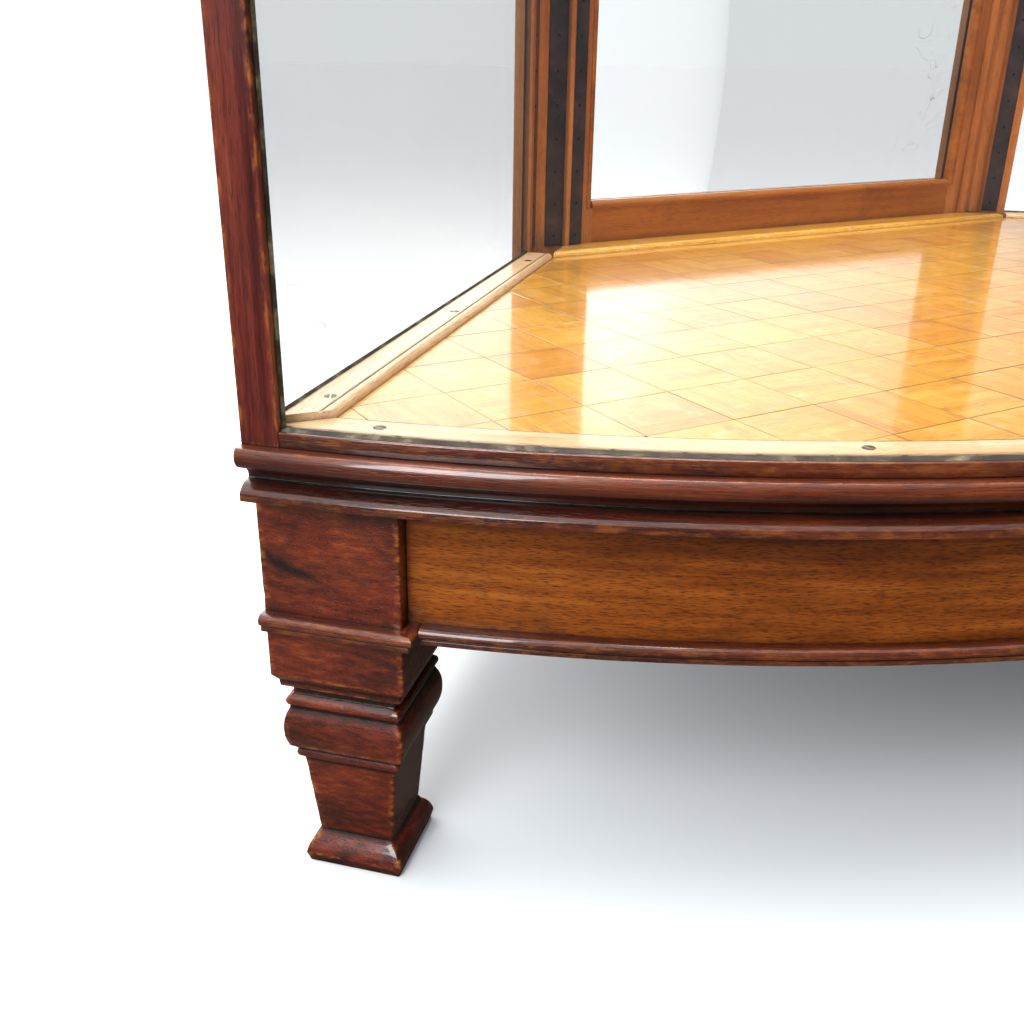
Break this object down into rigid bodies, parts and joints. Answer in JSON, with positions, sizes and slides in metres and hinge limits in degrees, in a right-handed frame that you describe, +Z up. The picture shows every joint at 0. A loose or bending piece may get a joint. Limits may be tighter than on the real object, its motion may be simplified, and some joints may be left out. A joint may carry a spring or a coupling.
{
  "type": "bow-front corner display showcase",
  "caption": "Quarter-circle shop display case: bent glass front, glazed sides, top and back door in a mahogany frame, parquet floor, moulded base, square legs.",
  "frame": {"origin": "middle of the footprint's box, on the ground", "axes": "+Z up, +X to the right seen from the front, the bowed front faces -Y"},
  "size_m": [1.655, 0.8389, 0.914],
  "materials": {
    "mahogany_leg": "french polished",
    "mahogany_moulding": "french polished",
    "mahogany_frame": "french polished",
    "mahogany_apron": "french polished",
    "mahogany_door": "polished",
    "pine_board": "planed",
    "oak_parquet": "varnished",
    "oak_fillet": "varnished",
    "plate_glass": "polished",
    "japanned_steel": "worn black",
    "brass": "dull",
    "steel_screw": "dull",
    "putty": "matt"
  },
  "bodies": {
    "cabinet": {"leg_front_left": "mahogany_leg", "leg_front_right": "mahogany_leg", "leg_front_centre": "mahogany_leg", "leg_back_left": "mahogany_leg", "leg_back_right": "mahogany_leg", "apron_front_left": "mahogany_apron", "apron_front_right": "mahogany_apron", "apron_side_left": "mahogany_apron", "apron_side_right": "mahogany_apron", "apron_back": "mahogany_apron", "apron_bead_front": "mahogany_moulding", "leg_block_beads": "mahogany_moulding", "base_nosing_front": "mahogany_moulding", "base_moulding_front": "mahogany_moulding", "top_moulding_front": "mahogany_moulding", "bottom_rail_front": "mahogany_frame", "bottom_rail_left": "mahogany_frame", "bottom_rail_right": "mahogany_frame", "bottom_rail_back": "mahogany_frame", "post_front_left": "mahogany_frame", "post_front_right": "mahogany_frame", "post_back_left": "mahogany_frame", "post_back_right": "mahogany_frame", "top_rail_front": "mahogany_frame", "top_rail_left": "mahogany_frame", "top_rail_right": "mahogany_frame", "top_rail_back": "mahogany_frame", "carcase_bottom": "pine_board", "parquet_floor": "oak_parquet", "floor_border_front": "oak_fillet", "floor_fillet_left": "oak_fillet", "floor_fillet_right": "oak_fillet", "floor_fillet_back": "oak_fillet", "fillet_screws": "steel_screw", "front_putty": "putty", "front_glass": "plate_glass", "side_glass_left": "plate_glass", "side_glass_right": "plate_glass", "top_glass": "plate_glass", "shelf_strip_left_side": "japanned_steel", "shelf_strip_right_side": "japanned_steel", "shelf_strip_left_outer": "japanned_steel", "shelf_strip_left_inner": "japanned_steel", "door_stop_left": "mahogany_door", "door_stop_right": "mahogany_door", "hinge_leaves_jamb": "brass", "hinge_pins": "brass", "shelf_brackets": "japanned_steel"},
    "door": {"door_stile_left": "mahogany_door", "door_stile_right": "mahogany_door", "door_rail_top": "mahogany_door", "door_rail_bottom": "mahogany_door", "door_glazing_beads": "mahogany_door", "door_glass": "plate_glass", "hinge_leaves_door": "brass", "lock_case": "brass", "door_knob": "brass"},
    "bolt": {"lock_bolt": "brass"},
    "key": {"key": "steel_screw"},
    "shelf": {"glass_shelf": "plate_glass"}
  },
  "joints": [
    {"name": "door_hinge", "type": "hinge", "parent": "cabinet", "child": "door", "pos_m": [0.32075, 0.39804, 0.55], "axis": [0, 0, -1], "range_deg": [0, 110]},
    {"name": "key_turn", "type": "hinge", "parent": "door", "child": "key", "pos_m": [-0.31, 0.395, 0.599], "axis": [0, 1, 0], "range_deg": [0, 90]},
    {"name": "bolt_slide", "type": "slide", "parent": "door", "child": "bolt", "axis": [-1, 0, 0], "range_m": [0, 0.008]},
    {"name": "shelf_lift", "type": "slide", "parent": "cabinet", "child": "shelf", "axis": [0, 0, 1], "range_m": [0, 0.05]}
  ],
  "couplings": [
    {"joint": "key_turn", "follows": "bolt_slide", "rad_per_m": 196}
  ]
}
